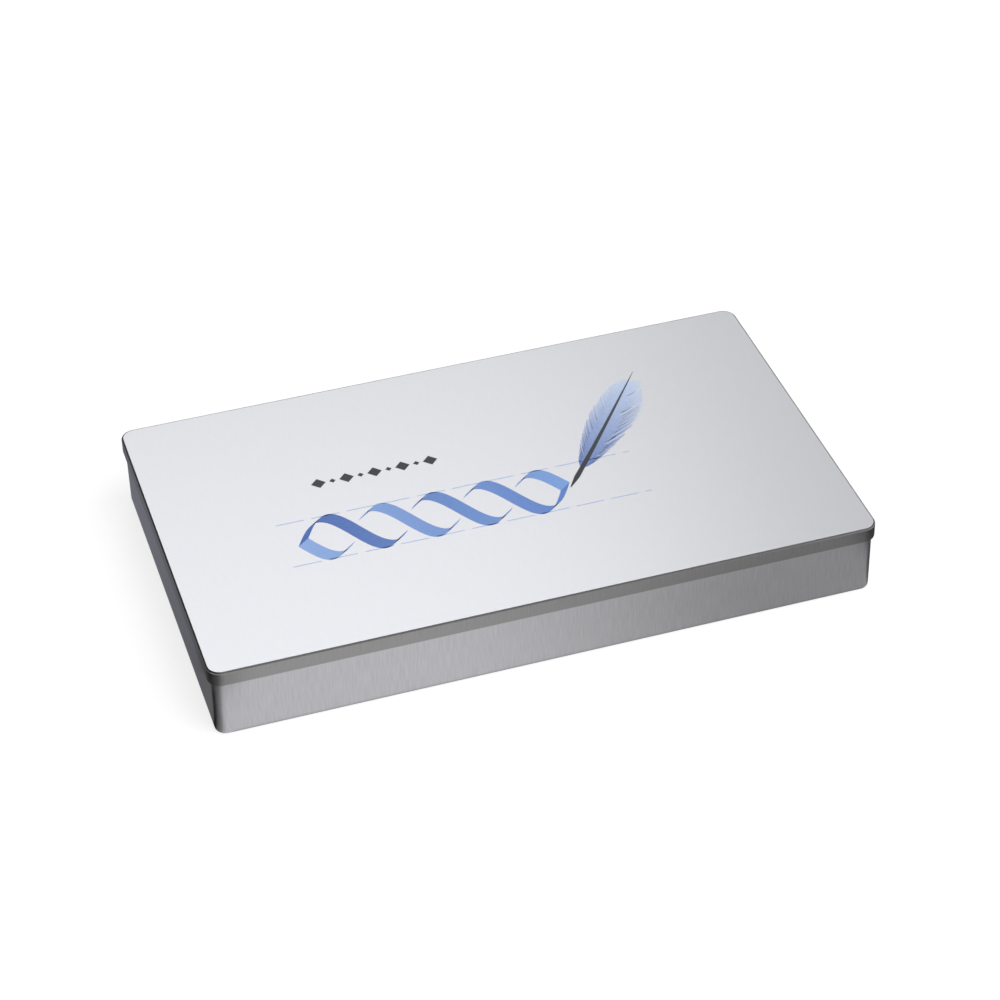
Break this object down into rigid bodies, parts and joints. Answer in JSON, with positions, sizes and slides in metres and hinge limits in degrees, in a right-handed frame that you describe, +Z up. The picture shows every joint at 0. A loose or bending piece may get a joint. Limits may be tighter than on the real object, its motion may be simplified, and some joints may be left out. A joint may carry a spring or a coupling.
{
  "type": "calligraphy set box",
  "caption": "Shallow slip-lid tin for a calligraphy set, with a fitted tray, broad-edge pen, spare nibs, ink cartridges and a small booklet inside",
  "frame": {"origin": "on the surface the tin stands on, under the middle of the tin", "axes": "+X along the tin's length to the right seen from the front, -Y towards the front, +Z up"},
  "size_m": [0.212, 0.1254, 0.025],
  "materials": {
    "cartridge_blue": "translucent",
    "cover_card": "coated card",
    "feed_plastic": "satin black",
    "lacquered_tinplate": "pearl lacquer on tinplate",
    "nib_steel": "satin",
    "page_paper": "uncoated",
    "pen_resin": "gloss",
    "polished_steel": "polished",
    "seal_plastic": "natural",
    "staple_steel": "galvanised",
    "tinplate": "brushed tinplate",
    "tray_plastic": "matt, fine grained"
  },
  "bodies": {
    "base": {"base_tin": "tinplate", "tray": "tray_plastic", "pen_cap": "pen_resin", "pen_barrel": "pen_resin", "pen_section": "pen_resin", "pen_inner_cap": "feed_plastic", "pen_cap_finial": "polished_steel", "pen_clip": "polished_steel", "pen_trim_ring": "polished_steel", "pen_nib": "nib_steel", "pen_feed": "feed_plastic", "pen_cartridge": "cartridge_blue", "spare_nib_medium": "nib_steel", "spare_nib_broad": "nib_steel", "cartridge_seals": "seal_plastic", "booklet_cover": "cover_card", "booklet_pages": "page_paper", "booklet_staples": "staple_steel", "ink_cartridge_1": "cartridge_blue", "ink_cartridge_2": "cartridge_blue", "ink_cartridge_3": "cartridge_blue", "ink_cartridge_4": "cartridge_blue", "ink_cartridge_5": "cartridge_blue"},
    "lid": {"lid": "lacquered_tinplate"}
  },
  "joints": [
    {"name": "lid_lift", "type": "slide", "parent": "base", "child": "lid", "axis": [0, 0, 1], "range_m": [0, 0.15]}
  ]
}
